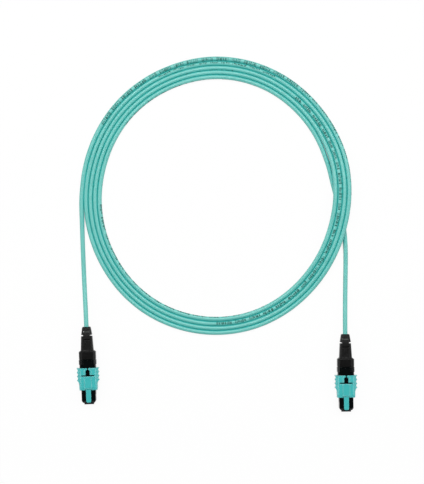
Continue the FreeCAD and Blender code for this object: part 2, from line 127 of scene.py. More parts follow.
# %% [markdown]
# ## Route of the cord
#
# The real cord is one length of stiff round cable. It leaves the first plug, runs straight to the
# coil, dips under the turns, becomes the innermost turn, winds outwards in four and a half turns
# that lie side by side, and leaves the outermost turn for the second plug.
#
# A spiral could come from a screw modifier, but then the loose ends would be separate pieces. Here the whole cord
# is one spline: the loose ends are listed points, and a loop works out the turns. Each turn steps outwards by one
# cord in the same place, at the lower left, as hand-wound turns do, and the outside of the coil is a little
# uneven.

# %% The loose end at each plug, from the crimp to the coil
CORD_D = 3.1
AXIS_HEIGHT = 4.6  # of a plug's middle over the table
ON_TABLE = CORD_D / 2

LOOSE_END_A = [
    (0.0, 9.9, AXIS_HEIGHT),
    (0.0, 32.0, AXIS_HEIGHT),
    (0.69, 54.85, ON_TABLE),
    (1.35, 76.94, ON_TABLE),
    (1.25, 87.99, ON_TABLE),
    (0.44, 98.04, ON_TABLE),
    (-1.87, 108.58, ON_TABLE),
    (-4.7, 119.63, ON_TABLE),
    (-7.28, 130.14, ON_TABLE),
    (-9.66, 141.25, ON_TABLE),
]
LOOSE_END_B = [
    (-177.54, 121.64, ON_TABLE),
    (-177.24, 106.07, ON_TABLE),
    (-176.78, 83.98, ON_TABLE),
    (-176.13, 62.38, ON_TABLE),
    (-175.02, 39.25, AXIS_HEIGHT),
    (-174.45, 17.15, AXIS_HEIGHT),
]

# %% The turns of the coil
COIL_CENTRE = (-86.59, 120.84)
COIL_HALF_WIDTH, COIL_HALF_HEIGHT = 92.3, 94.4
PITCH = 3.07  # the turns press on each other, so they lie a little closer than they are thick
STRANDS = 5
POINTS_PER_TURN = 24
STEP = 360 / POINTS_PER_TURN
FIRST_ANGLE, LAST_ANGLE = 30, 4 * 360 + 165
STEP_OUT = (192, 246)  # between these angles each turn moves outwards by one strand

# How high the cord lies, by angle, where the turns pass over its inner end.
OVER_THE_CROSSING = {315: 2.4, 330: 4.0, 345: 5.0, 0: 5.0, 15: 3.8, 30: 2.0}

# Where the hand-wound coil bulges or is pressed in: the angle, how far, and over what half span.
BULGES = [
    (15, 0.7, 30), (60, 0.55, 45), (95, 0.38, 18), (112, -0.6, 38), (160, -0.7, 38),
    (195, 0.55, 35), (245, -0.35, 25), (328, -1.1, 45), (352, -0.42, 28),
]


def smooth(t):
    """0 to 1 with a soft start and end."""
    t = min(1.0, max(0.0, t))
    return t * t * (3 - 2 * t)


def outside_radius(angle):
    """Radius of the coil's outside edge: an upright oval with a few soft bulges and dents."""
    swell = math.sin(math.radians(angle)) ** 2
    radius = COIL_HALF_WIDTH + (COIL_HALF_HEIGHT - COIL_HALF_WIDTH) * swell
    for middle, depth, half_span in BULGES:
        away = abs((angle - middle + 180) % 360 - 180) / half_span
        radius += depth * smooth(1 - away)
    return radius


def coil_point(angle):
    """The spline's point at an angle in degrees, counted on from turn to turn."""
    turn, phi = divmod(angle, 360)
    steps_out = turn + smooth((phi - STEP_OUT[0]) / (STEP_OUT[1] - STEP_OUT[0]))
    strand = STRANDS - 1 - steps_out
    radius = outside_radius(phi) - CORD_D / 2 - PITCH * strand
    # The spline touches the lines between its points, so the points lie a little outside it.
    control_radius = radius / math.cos(math.radians(STEP / 2))
    height = OVER_THE_CROSSING.get(phi, ON_TABLE) if angle > FIRST_ANGLE else ON_TABLE
    a = math.radians(phi)
    x, y = COIL_CENTRE
    return (x + control_radius * math.cos(a), y + control_radius * math.sin(a), height)


POINTS_ON_TURNS = round((LAST_ANGLE - FIRST_ANGLE) / STEP) + 1
TURNS = [coil_point(FIRST_ANGLE + STEP * i) for i in range(POINTS_ON_TURNS)]
print("points on the turns:", len(TURNS))

# %% [markdown]
# ## The cord
#
# The cord is a NURBS curve with a round bevel, so it keeps an even thickness and stays one open
# line that can be measured. A quadratic spline follows its points closely: it touches the middle of
# each line between two of them. The order and the end setting come after the points, because
# Blender corrects both down to what the number of points allows.
#
# Each point's radius holds half the cord's thickness and the bevel has a depth of 1, which
# multiplies it. A curve's box counts the radius of its points, and with the usual radius of 1 it
# would reach a metre past the cord on every side.

# %% Draw the cord as one spline
ROUTE = [mm(*p) for p in LOOSE_END_A + TURNS + LOOSE_END_B]

cord_curve = bpy.data.curves.new("patch_cord", "CURVE")
cord_curve.dimensions = "3D"
cord_curve.resolution_u = 8
spline = cord_curve.splines.new("NURBS")
spline.points.add(len(ROUTE) - 1)
for point, place in zip(spline.points, ROUTE):
    point.co = (*place, 1)
    point.radius = CORD_D / 2 * MM
spline.order_u = 3
spline.use_endpoint_u = True
cord = in_scene("patch_cord", cord_curve)
print("points on the cord:", len(spline.points))

# %% Read the smooth line back from the spline, before it gets its thickness


def smooth_line(curve_object):
    """The points that a curve with no bevel runs through."""
    bpy.context.view_layer.update()
    evaluated = curve_object.evaluated_get(bpy.context.evaluated_depsgraph_get())
    mesh = bpy.data.meshes.new_from_object(evaluated)
    line = [v.co.copy() for v in mesh.vertices]
    bpy.data.meshes.remove(mesh)
    return line


CENTRELINE = smooth_line(cord)
DISTANCES = [0.0]
for start, end in zip(CENTRELINE, CENTRELINE[1:]):
    DISTANCES.append(DISTANCES[-1] + (end - start).length)
CORD_LENGTH = round(DISTANCES[-1], 2)
cord_curve.bevel_depth = 1.0
cord_curve.bevel_resolution = 6
print("cord length:", CORD_LENGTH, "m")

# %% The cord stands for its plain CAD solids
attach(cord, "root")
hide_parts("cord_from_a", "cord_from_b", "cord_coil")
print("cord thickness:", CORD_D, "mm")

# %% [markdown]
# ## Floor and light
#
# The table is white paper. To the camera, and in reflections, it is nearly all plain white light,
# so that the picture's ground stays white while the lamps stay at a level that leaves the colours
# as they are. The small matt share that is left still takes the object's shadow. Paper that is
# almost covered, as in a narrow gap between two strands or under the slot in a boot, gets little
# light, so there an ambient occlusion node takes the glow away.
#
# One large soft lamp hangs nearly overhead, a little beyond the coil, and draws one broad highlight
# along the far side of every strand. Two weaker ones stand at the left and the right, and a faint
# one faces the first. The sky is pale all round and dark overhead, as a studio's ceiling is,
# because flat tops of black plastic mirror it and have to stay dark.

# %% One function turns a written colour into a linear one


def linear(colour):
    """An sRGB hex colour, as the linear colour that a shader takes."""
    channels = [int(colour[i:i + 2], 16) / 255 for i in (1, 3, 5)]
    return [c / 12.92 if c <= 0.04045 else ((c + 0.055) / 1.055) ** 2.4 for c in channels] + [1.0]


print("#808080 in linear light:", round(linear("#808080")[0], 3))

# %% One function adds a node with its settings and links


def add(material, kind, inputs=None, **settings):
    """Adds a shader node. An input takes a value, or the output socket that it is linked to."""
    node = material.node_tree.nodes.new("ShaderNode" + kind)
    for name, value in settings.items():
        setattr(node, name, value)
    for name, value in (inputs or {}).items():
        if isinstance(value, bpy.types.NodeSocket):
            material.node_tree.links.new(value, node.inputs[name])
        else:
            node.inputs[name].default_value = value
    return node


def empty_material(name):
    """A material with no nodes yet."""
    material = bpy.data.materials.new(name)
    material.use_nodes = True
    material.node_tree.nodes.clear()
    print("material:", name)
    return material


# %% White paper that keeps a faint shadow
COVER_REACH = 8  # how far, in millimetres, the paper looks round for something over it
COVERED, OPEN = 0.04, 0.34  # how open the paper is where its glow is least, and where it is full
COVERED_GLOW, PAPER_GLOW = 0.12, 0.94


def white_paper():
    """Uncoated white paper: white light to the eye, with a small matt share for the shadow."""
    paper = empty_material("white_paper")
    rays = add(paper, "LightPath")
    direct = add(paper, "Math", {
        0: rays.outputs["Is Camera Ray"], 1: rays.outputs["Is Glossy Ray"],
    }, operation="MAXIMUM")
    seen = add(paper, "Math", {
        0: direct.outputs[0], 1: rays.outputs["Is Transmission Ray"],
    }, operation="MAXIMUM")
    openness = add(paper, "AmbientOcclusion", {"Distance": COVER_REACH * MM}, samples=8)
    cover = add(paper, "MapRange", {
        "Value": openness.outputs["AO"], "From Min": COVERED, "From Max": OPEN,
        "To Min": COVERED_GLOW, "To Max": PAPER_GLOW,
    })
    share = add(paper, "Math", {0: seen.outputs[0], 1: cover.outputs[0]}, operation="MULTIPLY")
    matt = add(paper, "BsdfDiffuse", {"Color": linear("#EDEDED")})
    glow = add(paper, "Emission", {"Color": linear("#FFFFFF"), "Strength": 1.0})
    mix = add(paper, "MixShader", {"Fac": share.outputs[0], 1: matt.outputs[0], 2: glow.outputs[0]})
    add(paper, "OutputMaterial", {"Surface": mix.outputs[0]})
    return paper


# %% Lay the paper under the object
FLOOR_HALF = 2.0
object_centre = (cad_box[0] + cad_box[1]) / 2
floor_corners = [
    (object_centre.x + x * FLOOR_HALF, object_centre.y + y * FLOOR_HALF, 0)
    for x, y in [(-1, -1), (1, -1), (1, 1), (-1, 1)]
]
floor_mesh = bpy.data.meshes.new("paper_floor")
floor_mesh.from_pydata(floor_corners, [], [(0, 1, 2, 3)])
floor_mesh.materials.append(white_paper())
floor = in_scene("paper_floor", floor_mesh)
print("paper:", 2 * FLOOR_HALF, "m square")

# %% Soft lamps nearly overhead and at the sides
LAMP_WIDTH, LAMP_HEIGHT = 1.3, 0.7
LAMPS = {  # where each hangs from the object's centre, in metres, and its power in watts
    "far_lamp": ((0.0, 0.62, 1.32), 17),
    "near_lamp": ((0.0, -1.25, 0.9), 1.5),
    "left_lamp": ((-1.0, 0.1, 0.95), 5),
    "right_lamp": ((1.0, 0.1, 0.95), 5),
}

for name, (offset, power) in LAMPS.items():
    light = bpy.data.lights.new(name, "AREA")
    light.shape = "RECTANGLE"
    light.size, light.size_y = LAMP_WIDTH, LAMP_HEIGHT
    light.energy = power
    lamp = in_scene(name, light)
    lamp.location = object_centre + Vector(offset)
    lamp.rotation_euler = (-Vector(offset)).to_track_quat("-Z", "Y").to_euler()
print("lamps:", ", ".join(LAMPS))

# %% A sky that is pale all round and dark overhead
PALE_SKY, DARK_SKY = 0.42, 0.03
PALE_UP_TO, DARK_FROM = 0.25, 0.95  # how steeply a direction points up: 0 is level, 1 is overhead

sky = bpy.data.worlds.new("studio_sky")
sky.use_nodes = True
sky.node_tree.nodes.clear()
direction = add(sky, "TexCoord")
height = add(sky, "SeparateXYZ", {0: direction.outputs["Generated"]})
brightness = add(sky, "MapRange", {
    "Value": height.outputs["Z"], "From Min": PALE_UP_TO, "From Max": DARK_FROM,
    "To Min": PALE_SKY, "To Max": DARK_SKY,
})
background = add(sky, "Background", {
    "Color": linear("#FFFFFF"), "Strength": brightness.outputs[0],
})
add(sky, "OutputWorld", {"Surface": background.outputs[0]})
bpy.context.scene.world = sky
bpy.context.scene.view_settings.view_transform = "Standard"
print("sky:", PALE_SKY, "all round,", DARK_SKY, "overhead")

# %% [markdown]
# ## Two plugs, drawn once
#
# Both ends of the cord carry the same plug. The second one lies at the other side of the coil and
# is turned by a degree and a half. Each small piece of a plug is drawn once, at the first plug, and
# a matrix carries its copy to the second. The matrix comes from the CAD model's own record: where
# each plug's nose is, and in which direction its sleeve slides.

# %% The way from the first plug to the second
ENDS = ("a", "b")
MOUNTS = {mount["name"]: Vector(mount["pos_m"]) for mount in frame["record"]["mounts"]}
SLIDE = {joint["name"]: Vector(joint["axis"]) for joint in frame["joints"]}
turned = SLIDE["sleeve_pull_a"].rotation_difference(SLIDE["sleeve_pull_b"]).to_matrix()
moved = MOUNTS["plug_nose_b"] - turned @ MOUNTS["plug_nose_a"]
PLUG_PLACE = {"a": Matrix.Identity(4), "b": Matrix.Translation(moved) @ turned.to_4x4()}
print("second plug is turned by", round(math.degrees(turned.to_euler().z), 2), "degrees")

# %% [markdown]
# ## Cord jacket
#
# The jacket is a low-smoke compound, extruded over the fibres and their yarn. Extruded jacket is satin, not
# glossy: the die leaves it a little uneven along its length, and its colour is the aqua that marks multimode
# fibre. A fine bump and a slow change of shade keep the long strands from looking like plastic rod. Little light
# reaches the groove between two touching strands, and light that goes to and fro there takes on more of their
# colour each time. Here that is painted shade: where a neighbour is near, an ambient occlusion node paints the
# jacket a deeper, darker teal.

# %% The jacket's finish


def per_mm(size):
    """The texture scale at which a pattern repeats every `size` millimetres."""
    return 1 / (size * MM)


SHADE_SIZE = 14  # the colour drifts over a centimetre or so of jacket
JACKET_GRAIN = 0.35  # the die's marks are finer than this, and are drawn coarse enough to show
JACKET_GRAIN_DEPTH = 0.03
GROOVE_REACH = 3  # how near, in millimetres, a neighbour has to be for the painted groove shade
GROOVE_BOTTOM = 0.3  # how open the jacket is at the bottom of a groove


def jacket_compound():
    """Extruded low-smoke compound: satin, so a strand shows one broad soft highlight."""
    jacket = empty_material("aqua_jacket_compound")
    place = add(jacket, "TexCoord")
    shade = add(jacket, "TexNoise", {
        "Vector": place.outputs["Object"], "Scale": per_mm(SHADE_SIZE), "Detail": 3.0,
    })
    open_colour = add(jacket, "MixRGB", {
        "Fac": shade.outputs["Fac"], "Color1": linear("#5AB3AB"), "Color2": linear("#68BFB6"),
    })
    openness = add(jacket, "AmbientOcclusion", {"Distance": GROOVE_REACH * MM}, samples=6,
                   only_local=True)
    painted_groove_shade = add(jacket, "MapRange", {
        "Value": openness.outputs["AO"], "From Min": GROOVE_BOTTOM, "From Max": 1.0,
    })
    # Painted shade: the jacket is painted a deeper, darker teal in the grooves, where a neighbouring strand is
    # near.
    colour = add(jacket, "MixRGB", {
        "Fac": painted_groove_shade.outputs[0], "Color1": linear("#12B5B0"), "Color2": open_colour.outputs[0],
    })
    grain = add(jacket, "TexNoise", {
        "Vector": place.outputs["Object"], "Scale": per_mm(JACKET_GRAIN), "Detail": 4.0,
    })
    bump = add(jacket, "Bump", {
        "Height": grain.outputs["Fac"], "Strength": 0.35, "Distance": JACKET_GRAIN_DEPTH * MM,
    })
    satin = add(jacket, "MapRange", {
        "Value": grain.outputs["Fac"], "To Min": 0.32, "To Max": 0.44,
    })
    skin = add(jacket, "BsdfPrincipled", {
        "Base Color": colour.outputs[0], "Roughness": satin.outputs[0], "Normal": bump.outputs[0],
        "IOR": 1.5, "Specular IOR Level": 0.75,
    })
    add(jacket, "OutputMaterial", {"Surface": skin.outputs[0]})
    return jacket


cord.data.materials.append(jacket_compound())

# %% [markdown]
# ## Length marks
#
# A jacket carries ink marks along one side. Here they are plain ticks in small groups, like those on a tape
# measure. The inked side turns slowly round the cord, because a cord twists as it is wound, so the marks show on
# top of some stretches and hide under others. They come in lines with a blank after each. On the last turn they
# are drawn taller, partly as print and partly as painted shade for the shade of the groove beside them.
#
# Ink could be painted by the material, but the jacket is over two and a half metres long and the
# ticks would blur on it. Each tick is a thin curved tile let into the jacket instead, placed along
# the smooth line. Its turn is looked up by how far round the coil it lies.

# %% Where the inked side faces, and where the jacket is blank
# The angle round the coil, the turn of the inked side from straight up, and the print's height, which is larger on
# the last turn partly as painted shade.
INK_TURNS = [
    (0, -150, 1.0), (186, -52, 1.0), (268, -75, 1.0), (300, -110, 1.0), (575, -260, 1.0),
    (630, -366, 1.0), (720, -357, 1.0), (772, -366, 1.0), (800, -450, 1.0), (1100, -630, 1.0),
    (1143, -706, 0.5), (1195, -702, 0.5), (1225, -800, 0.8), (1340, -900, 1.0),
    (1440, -988, 1.0), (1462, -1022, 1.2), (1482, -1028, 1.2), (1496, -1066, 1.3),
    (1515, -1092, 1.4), (1592, -1090, 1.3), (1620, -1080, 1.3),
]
BLANKS = [(140, 183), (575, 630), (770, 800), (1100, 1143), (1192, 1225), (1584, 1700)]
print("lines of print:", len(BLANKS), "with a blank after each")

# %% How far round the coil each point of the cord lies


def unwind(points):
    """Each point's angle round the coil, in degrees, added up from turn to turn."""
    angles = []
    for point in points:
        spoke = point - mm(*COIL_CENTRE, 0)
        angle = math.degrees(math.atan2(spoke.y, spoke.x))
        while angles and angle < angles[-1] - 180:
            angle += 360
        angles.append(angle)
    return angles


COIL_ANGLES = unwind(CENTRELINE)
print("the cord goes from", round(COIL_ANGLES[0]), "to", round(COIL_ANGLES[-1]), "degrees")

# %% Look up a place on the cord


def at_distance(distance):
    """The smooth line's point, its direction and its angle round the coil, by the distance."""
    high = min(bisect.bisect_right(DISTANCES, distance), len(DISTANCES) - 1)
    low = high - 1
    share = (distance - DISTANCES[low]) / (DISTANCES[high] - DISTANCES[low])
    start, end = CENTRELINE[low], CENTRELINE[high]
    angle = COIL_ANGLES[low] + (COIL_ANGLES[high] - COIL_ANGLES[low]) * share
    return start.lerp(end, share), (end - start).normalized(), angle


def ink_turn(angle):
    """How far the inked side has turned from the top, in radians, and how tall the print is."""
    for (a0, t0, h0), (a1, t1, h1) in zip(INK_TURNS, INK_TURNS[1:]):
        if angle <= a1:
            break
    share = (angle - a0) / (a1 - a0)
    return math.radians(t0 + (t1 - t0) * share), h0 + (h1 - h0) * share


print("halfway along, the cord is at", round(at_distance(CORD_LENGTH / 2)[2]), "degrees")

# %% One tick
TICK_COLUMNS = 4
INK_TOP = CORD_D / 2 + 0.012  # the ink stands a hair over the jacket
INK_ROOT = CORD_D / 2 - 0.06  # and its root is well inside it


def add_tick(mesh, distance, length, half_angle, shift):
    """One closed tile, curved with the jacket."""
    point, along, angle = at_distance(distance)
    side = along.cross(Vector((0, 0, 1))).normalized()
    up = side.cross(along)
    turn, height = ink_turn(angle)
    turn += shift
    rings = []
    for end in (-0.5, 0.5):
        for radius in (INK_TOP, INK_ROOT):
            ring = []
            for i in range(TICK_COLUMNS + 1):
                a = turn + height * half_angle * (2 * i / TICK_COLUMNS - 1)
                outward = up * math.cos(a) + side * math.sin(a)
                place = point + along * (end * length * MM) + outward * (radius * MM)
                ring.append(mesh.verts.new(place))
            rings.append(ring)
    top_0, root_0, top_1, root_1 = rings
    for low, high in ((top_0, top_1), (root_1, root_0), (root_0, top_0), (top_1, root_1)):
        for i in range(TICK_COLUMNS):
            mesh.faces.new((low[i], low[i + 1], high[i + 1], high[i]))
    mesh.faces.new((top_0[0], top_1[0], root_1[0], root_0[0]))
    mesh.faces.new((top_1[-1], top_0[-1], root_0[-1], root_1[-1]))


# %% Draw the ticks in groups
BARE_END_A, BARE_END_B = 40.0, 45  # jacket at each plug that has no marks, in millimetres
FEWEST_TICKS, MOST_TICKS = 5, 9
TICK_LENGTHS = (0.45, 0.7, 1.0)
TICK_GAPS = (0.3, 0.45)
GROUP_GAP = 2.0
TICK_HALF_ANGLES = [math.radians(angle) for angle in (26, 33, 40)]
TICK_SHIFTS = (-7, 0, 7)  # a tick stands a few degrees to one side or the other
TICK_SEED = 12  # draws the same ticks at every run

ink_mesh = bmesh.new()
chance = random.Random(TICK_SEED)
ticks = 0
distance = BARE_END_A
while distance < CORD_LENGTH / MM - BARE_END_B:
    angle = at_distance(distance * MM)[2]
    if any(start < angle < end for start, end in BLANKS):
        distance += GROUP_GAP
        continue
    for _ in range(chance.randint(FEWEST_TICKS, MOST_TICKS)):
        length = chance.choice(TICK_LENGTHS)
        shift = math.radians(chance.choice(TICK_SHIFTS))
        add_tick(ink_mesh, distance * MM, length, chance.choice(TICK_HALF_ANGLES), shift)
        distance += length + chance.choice(TICK_GAPS)
        ticks += 1
    distance += GROUP_GAP
bmesh.ops.recalc_face_normals(ink_mesh, faces=ink_mesh.faces)
ink_data = bpy.data.meshes.new("jacket_length_marks")
ink_mesh.to_mesh(ink_data)
ink_mesh.free()
length_marks = in_scene("jacket_length_marks", ink_data)
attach(length_marks, "root")
print("ticks:", ticks)

# %% The ink's finish
INK_PATCH = 0.5  # the ink covers more or less well from one tick to the next


def jacket_ink():
    """Ink-jet print on the jacket: dark, flat and a little thin, so the aqua shows through it."""
    ink = empty_material("thin_black_ink")
    place = add(ink, "TexCoord")
    cover = add(ink, "TexNoise", {
        "Vector": place.outputs["Object"], "Scale": per_mm(INK_PATCH), "Detail": 2.0,
    })
    colour = add(ink, "MixRGB", {
        "Fac": cover.outputs["Fac"], "Color1": linear("#0B524C"), "Color2": linear("#217469"),
    })
    skin = add(ink, "BsdfPrincipled", {
        "Base Color": colour.outputs[0], "Roughness": 0.6, "IOR": 1.5,
    })
    add(ink, "OutputMaterial", {"Surface": skin.outputs[0]})
    return ink


length_marks.data.materials.append(jacket_ink())

# %% [markdown]
# ## Mouldings
#
# The sleeve and keys are a glass-filled polyester, moulded in aqua to match the jacket. The housing
# and the rear body are the same kind of resin in black, and the boots are a soft black elastomer. A
# mould for such parts is spark-eroded, which leaves a fine even grain, and its edges are never
# sharp. The hand-held sleeve and keys are rounded by about half a millimetre, the black parts by a
# tenth, and a rounded edge catches the light as a thin line. A bevel modifier would have to cut
# every small edge of the mesh. The Bevel node rounds the shading alone, and that is all such a
# small radius shows.

# %% Moulded resin
FLOW_MARK = 2.5  # the shade drifts over a few millimetres, as the resin flowed in the mould
UNEVEN_POLISH = 0.05


def moulded(name, dark, light, roughness, grain, grain_depth, edge_radius, gloss):
    """Moulded resin: a fine eroded grain, slightly uneven shade, and edges that catch the light.

    The grain, its depth and the edge radius are in millimetres.
    """
    resin = empty_material(name)
    place = add(resin, "TexCoord")
    shade = add(resin, "TexNoise", {
        "Vector": place.outputs["Object"], "Scale": per_mm(FLOW_MARK), "Detail": 3.0,
    })
    colour = add(resin, "MixRGB", {
        "Fac": shade.outputs["Fac"], "Color1": linear(dark), "Color2": linear(light),
    })
    eroded = add(resin, "TexNoise", {
        "Vector": place.outputs["Object"], "Scale": per_mm(grain), "Detail": 2.0,
    })
    edge = add(resin, "Bevel", {"Radius": edge_radius * MM}, samples=6)
    bump = add(resin, "Bump", {
        "Height": eroded.outputs["Fac"], "Strength": 0.5, "Distance": grain_depth * MM,
        "Normal": edge.outputs[0],
    })
    polish = add(resin, "MapRange", {
        "Value": shade.outputs["Fac"],
        "To Min": roughness - UNEVEN_POLISH, "To Max": roughness + UNEVEN_POLISH,
    })
    skin = add(resin, "BsdfPrincipled", {
        "Base Color": colour.outputs[0], "Roughness": polish.outputs[0], "Normal": bump.outputs[0],
        "IOR": 1.55, "Specular IOR Level": gloss,
    })
    add(resin, "OutputMaterial", {"Surface": skin.outputs[0]})
    return resin


def dress(material, *nodes):
    """Gives a material to a CAD node at both ends of the cord."""
    for node in nodes:
        for end in ENDS:
            mesh = frame["nodes"][f"{node}_{end}"].data
            mesh.materials.clear()
            mesh.materials.append(material)
    print(material.name, "on", ", ".join(nodes))


# %% The sleeve, the housings and the boots
# The aqua is almost polished: pale edges round a clean, even face.
aqua_resin = moulded(
    "aqua_moulded_polyester", "#3BB0B0", "#42B7B6",
    roughness=0.22, grain=0.12, grain_depth=0.001, edge_radius=0.6, gloss=1.0,
)
# The black is deep, and shines only where a face looks straight at a lamp.
black_resin = moulded(
    "black_moulded_polyester", "#030607", "#060A0B",
    roughness=0.16, grain=0.12, grain_depth=0.003, edge_radius=0.1, gloss=0.3,
)
# The elastomer is softer to the eye: its highlights are wider and dimmer.
soft_rubber = moulded(
    "black_boot_elastomer", "#040404", "#090909",
    roughness=0.3, grain=0.2, grain_depth=0.003, edge_radius=0.15, gloss=0.25,
)
dress(aqua_resin, "sleeve", "polarity_key_top", "polarity_key_bottom")
dress(black_resin, "nose_housing", "rear_body")
dress(soft_rubber, "strain_relief_boot", "ferrule_boot")

# %% [markdown]
# ## Metal parts
#
# The springs are hard-drawn stainless wire, the pin keeper is stamped from stainless sheet, and the
# crimp ring is turned from brass and nickel plated. All of them are small and hidden or half
# hidden, and what tells them apart is the direction of their fine marks: round the ring, along the
# sheet. A noise texture that is stretched by a Mapping node draws such marks. The real ones are
# about a hundredth of a millimetre wide, and are drawn nearly a tenth wide so that they show.

# %% Metal with the marks of its tool
UNEVEN_METAL = 0.08
MARK_DEPTH = 0.01


def tooled_metal(name, dark, light, roughness, marks):
    """Bare or plated metal. Its marks have the given sizes along X, Y and Z, in millimetres."""
    metal = empty_material(name)
    place = add(metal, "TexCoord")
    stretch = add(metal, "Mapping", {
        "Vector": place.outputs["Object"], "Scale": [per_mm(length) for length in marks],
    })
    marked = add(metal, "TexNoise", {"Vector": stretch.outputs[0], "Scale": 1.0, "Detail": 3.0})
    colour = add(metal, "MixRGB", {
        "Fac": marked.outputs["Fac"], "Color1": linear(dark), "Color2": linear(light),
    })
    polish = add(metal, "MapRange", {
        "Value": marked.outputs["Fac"],
        "To Min": roughness - UNEVEN_METAL, "To Max": roughness + UNEVEN_METAL,
    })
    bump = add(metal, "Bump", {
        "Height": marked.outputs["Fac"], "Strength": 0.3, "Distance": MARK_DEPTH * MM,
    })
    skin = add(metal, "BsdfPrincipled", {
        "Base Color": colour.outputs[0], "Metallic": 1.0, "Roughness": polish.outputs[0],
        "Normal": bump.outputs[0],
    })
    add(metal, "OutputMaterial", {"Surface": skin.outputs[0]})
    return metal


# Drawn wire is bright and even, with no direction to its marks.
spring_wire = tooled_metal(
    "hard_drawn_spring_wire", "#9FA0A2", "#BFC0C2", roughness=0.28, marks=(0.1, 0.1, 0.1),
)
# Rolled sheet is greyer and duller, with streaks along it.
stamped_sheet = tooled_metal(
    "stamped_stainless_sheet", "#9A9C9E", "#B4B6B8", roughness=0.36, marks=(3, 0.08, 0.08),
)
# Nickel is warmer than steel, and the lathe leaves fine rings round it.
plated_brass = tooled_metal(
    "nickel_plated_brass", "#B9B3A4", "#D3CDBE", roughness=0.28, marks=(4, 0.06, 4),
)
dress(stamped_sheet, "pin_keeper")
dress(plated_brass, "crimp_ring")

# %% [markdown]
# ## Aramid yarn
#
# A sheaf of golden aramid yarn runs under the jacket and is crimped round the plug's post, so that
# a pull on the cord doesn't reach the fibres. Its strands run along the cord and have a silky
# shine. A single filament is a hundredth of a millimetre thick, so small bundles of them are drawn.

# %% Yarn with its strands along the cord
BUNDLE_WIDTH, BUNDLE_LENGTH = 0.15, 4
BUNDLE_DEPTH = 0.06


def aramid():
    """Golden filament yarn: strands that show as fine lines, with the soft shine of silk."""
    yarn = empty_material("golden_aramid_yarn")
    place = add(yarn, "TexCoord")
    stretch = add(yarn, "Mapping", {
        "Vector": place.outputs["Object"],
        "Scale": (per_mm(BUNDLE_WIDTH), per_mm(BUNDLE_LENGTH), per_mm(BUNDLE_WIDTH)),
    })
    strands = add(yarn, "TexNoise", {"Vector": stretch.outputs[0], "Scale": 1.0, "Detail": 4.0})
    colour = add(yarn, "MixRGB", {
        "Fac": strands.outputs["Fac"], "Color1": linear("#B98F2E"), "Color2": linear("#E8CF7A"),
    })
    bump = add(yarn, "Bump", {
        "Height": strands.outputs["Fac"], "Strength": 0.8, "Distance": BUNDLE_DEPTH * MM,
    })
    skin = add(yarn, "BsdfPrincipled", {
        "Base Color": colour.outputs[0], "Roughness": 0.5, "Sheen Weight": 0.4,
        "Normal": bump.outputs[0],
    })
    add(yarn, "OutputMaterial", {"Surface": skin.outputs[0]})
    return yarn


dress(aramid(), "aramid_yarn")

# %% [markdown]
# ## Ferrule
#
# The ferrule is moulded from resin that is half glass powder, so that it holds its twelve fibres
# within a thousandth of a millimetre. Its front face is ground and polished together with the
# fibres. It shines there, and the moulded sides are matt. The face is found by the direction that
# it looks in. The powder is finer than the specks here, which are drawn coarse enough to show.

# %% Glass-filled resin with a polished face
SPECK_SIZE = 0.08
FACE_ROUGHNESS, SIDE_ROUGHNESS = 0.1, 0.45
POLISHED_UP_TO, MATT_FROM = -0.95, -0.85  # a face's direction along Y, where -1 is straight ahead


def ferrule_resin():
    """Dark glass-filled resin: matt and faintly speckled sides, and a mirror-smooth front face."""
    resin = empty_material("glass_filled_ferrule_resin")
    place = add(resin, "TexCoord")
    speck = add(resin, "TexNoise", {
        "Vector": place.outputs["Object"], "Scale": per_mm(SPECK_SIZE), "Detail": 2.0,
    })
    colour = add(resin, "MixRGB", {
        "Fac": speck.outputs["Fac"], "Color1": linear("#15191C"), "Color2": linear("#2A3035"),
    })
    facing = add(resin, "SeparateXYZ", {0: add(resin, "NewGeometry").outputs["Normal"]})
    polish = add(resin, "MapRange", {
        "Value": facing.outputs["Y"], "From Min": POLISHED_UP_TO, "From Max": MATT_FROM,
        "To Min": FACE_ROUGHNESS, "To Max": SIDE_ROUGHNESS,
    })
    skin = add(resin, "BsdfPrincipled", {
        "Base Color": colour.outputs[0], "Roughness": polish.outputs[0], "IOR": 1.58,
    })
    add(resin, "OutputMaterial", {"Surface": skin.outputs[0]})
    return resin


dress(ferrule_resin(), "ferrule")

# %% [markdown]
# ## Pieces drawn at the first plug
#
# The pieces below are small meshes made point by point. One helper finishes each of them: it
# carries the mesh to its plug, gives it a material, and lets it ride on a body of the CAD model.


def fit(name, form, end, material, body="root"):
    """A piece made from a mesh that was drawn at the first plug."""
    data = bpy.data.meshes.new(f"{name}_{end}")
    placed = form.copy()
    placed.transform(PLUG_PLACE[end])
    bmesh.ops.recalc_face_normals(placed, faces=placed.faces)
    placed.to_mesh(data)
    placed.free()
    data.materials.append(material)
    piece = in_scene(data.name, data)
    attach(piece, body)
    return piece


def skin_over(mesh, rings):
    """Joins rings of points into a closed tube with flat ends. Its sides are shaded smooth."""
    loops = [[mesh.verts.new(p) for p in ring] for ring in rings]
    for low, high in zip(loops, loops[1:]):
        for i in range(len(low)):
            j = (i + 1) % len(low)
            mesh.faces.new((low[i], low[j], high[j], high[i])).smooth = True
    mesh.faces.new(loops[0])
    mesh.faces.new(loops[-1])


# %% [markdown]
# ## Springs
#
# Two thin springs push the sleeve forward, and an oval one presses the ferrule against its partner.
# The CAD solids have four-sided wire, to stay light. Here the wire is round, and the turns at both
# ends lie close together, as on a real compression spring, which needs a flat end to push with.
#
# A screw modifier winds a spring with one even pitch. A loop over the stations of the helix can close the end
# turns too.

# %% Wind a spring of round wire
WIRE_SIDES = 10
STEPS_A_TURN = 24


